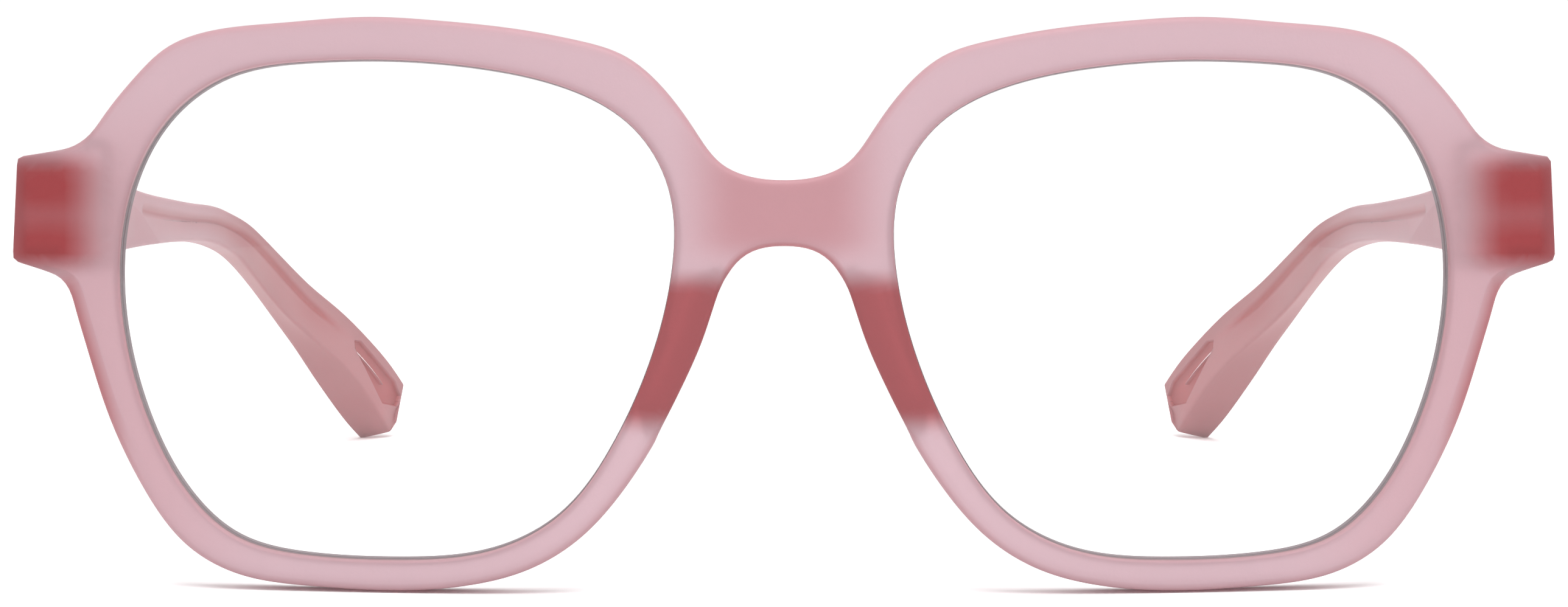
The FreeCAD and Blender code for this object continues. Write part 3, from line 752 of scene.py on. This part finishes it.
def frostedPlastic(grain):
    s = plasticSettings
    material, shader = newMaterial("frostedPinkPlastic")
    nodes, links = material.node_tree.nodes, material.node_tree.links
    shader.inputs["Transmission Weight"].default_value = s["clearness"]
    shader.inputs["IOR"].default_value = 1.46
    shader.inputs["Specular IOR Level"].default_value = 0.3
    addGrain(material, shader, grain, s["grainSize"], s["roughness"], 0.05, 0.12, 0.0001)
    # the per-point share of the deep colour: painted shade, and painted depth of light through thick
    # plastic
    paintedDeepening = nodes.new("ShaderNodeAttribute")
    paintedDeepening.attribute_name = "paintedDeepening"
    addColourMix(material, shader, paintedDeepening.outputs["Fac"], s["thin"], s["deep"])
    volume = nodes.new("ShaderNodeVolumeAbsorption")
    volume.inputs["Color"].default_value = s["absorbs"]
    volume.inputs["Density"].default_value = s["density"]
    links.new(volume.outputs["Volume"], nodes["Material Output"].inputs["Volume"])
    return material


def lensClear():
    material, shader = newMaterial("clearLens")
    shader.inputs["Base Color"].default_value = (1, 1, 1, 1)
    shader.inputs["Transmission Weight"].default_value = 1.0
    shader.inputs["Roughness"].default_value = 0.0
    shader.inputs["IOR"].default_value = 1.5
    shader.inputs["Specular IOR Level"].default_value = 0.15
    shader.inputs["Alpha"].default_value = 0.04
    return material


solidSettings = {
    # the ground lens edge: its own grey, darkened with painted shade for the dark line it shows round the
    # openings
    "groundLensEdgeShade": {
        "darker": (0.14, 0.11, 0.12, 1), "lighter": (0.22, 0.18, 0.19, 1),
        "metallic": 0.0, "roughness": 0.7, "grainSize": 3200.0,
    },
    "satinHingeMetal": {
        "darker": (0.62, 0.6, 0.58, 1), "lighter": (0.74, 0.72, 0.7, 1),
        "metallic": 1.0, "roughness": 0.34, "grainSize": 1800.0,
    },
    "brightScrewMetal": {
        "darker": (0.72, 0.72, 0.73, 1), "lighter": (0.8, 0.8, 0.81, 1),
        "metallic": 1.0, "roughness": 0.22, "grainSize": 1800.0,
    },
}


def grainySolid(name, grain):
    s = solidSettings[name]
    material, shader = newMaterial(name)
    shader.inputs["Metallic"].default_value = s["metallic"]
    frost = addGrain(material, shader, grain, s["grainSize"], s["roughness"], 0.06, 0.15, 0.00003)
    addColourMix(material, shader, frost.outputs["Cloud"], s["darker"], s["lighter"])
    return material


def paintNode(name, material):
    for slot in frame["nodes"][name].material_slots:
        slot.material = material


grain = makeGrainGroup()
plastic = frostedPlastic(grain)
clearLens = lensClear()
lensEdgeShade = grainySolid("groundLensEdgeShade", grain)
leafMetal = grainySolid("satinHingeMetal", grain)
screwMetal = grainySolid("brightScrewMetal", grain)

makeFrontMoulding(plastic)
for sideName, side in (("left", 1), ("right", -1)):
    label = sideName.capitalize()
    makeLens(f"lens{label}", side, f"lens_{sideName}", clearLens, lensEdgeShade)
    makeTemple(f"temple{label}", side, f"temple_{sideName}", f"temple_arm_{sideName}", plastic)
    paintNode(f"hinge_front_leaf_{sideName}", leafMetal)
    paintNode(f"hinge_temple_leaf_{sideName}", leafMetal)
    paintNode(f"hinge_screw_{sideName}", screwMetal)
print("pieces made")

studio = {
    "floorSize": 60.0,
    "floorPaleness": 0.95,
    "worldLight": 1.08,
    "lampSize": 0.9,
    "lampPower": 9,
    "lampPlace": (0.1, -0.25, 0.9),
    "lampTilt": 16,
    "cameraBack": 400.0,  # from the bridge, in the front's own axes, mm
    "cameraUp": 38.7,
    "focalLength": 100.565,
    "shiftUp": -0.085,
}


def makeStudio():
    bm = bmesh.new()
    bmesh.ops.create_grid(bm, x_segments=1, y_segments=1, size=studio["floorSize"] / 2)
    mesh = bpy.data.meshes.new("studioFloor")
    bm.to_mesh(mesh)
    bm.free()
    floor = bpy.data.objects.new("studioFloor", mesh)
    bpy.context.scene.collection.objects.link(floor)
    material, shader = newMaterial("paleFloor")
    shader.inputs["Base Color"].default_value = (*[studio["floorPaleness"]] * 3, 1)
    shader.inputs["Roughness"].default_value = 0.9
    mesh.materials.append(material)
    world = bpy.data.worlds.new("studioWorld")
    world.use_nodes = True
    world.node_tree.nodes["Background"].inputs["Color"].default_value = (1, 1, 1, 1)
    world.node_tree.nodes["Background"].inputs["Strength"].default_value = studio["worldLight"]
    bpy.context.scene.world = world
    light = bpy.data.lights.new("softKey", "AREA")
    light.shape = "DISK"
    light.size = studio["lampSize"]
    light.energy = studio["lampPower"]
    lamp = bpy.data.objects.new("softKey", light)
    tilt = Matrix.Rotation(math.radians(studio["lampTilt"]), 4, "X")
    lamp.matrix_world = Matrix.Translation(studio["lampPlace"]) @ tilt
    lamp.visible_glossy = False
    bpy.context.scene.collection.objects.link(lamp)


def makeCamera():
    camera = bpy.data.cameras.new("mainCamera")
    camera.sensor_width = 36
    camera.lens = studio["focalLength"]
    camera.shift_y = studio["shiftUp"]
    camera.clip_start = 0.01
    viewer = bpy.data.objects.new("mainCamera", camera)
    turn = stand.to_3x3().normalized().to_4x4() @ Matrix.Rotation(math.radians(90), 4, "X")
    spot = stand @ Vector((0, -studio["cameraBack"], studio["cameraUp"]))
    viewer.matrix_world = Matrix.Translation(spot) @ turn
    bpy.context.scene.collection.objects.link(viewer)
    bpy.context.scene.camera = viewer


makeStudio()
makeCamera()
bpy.context.scene.view_settings.view_transform = "Standard"
print("studio made")
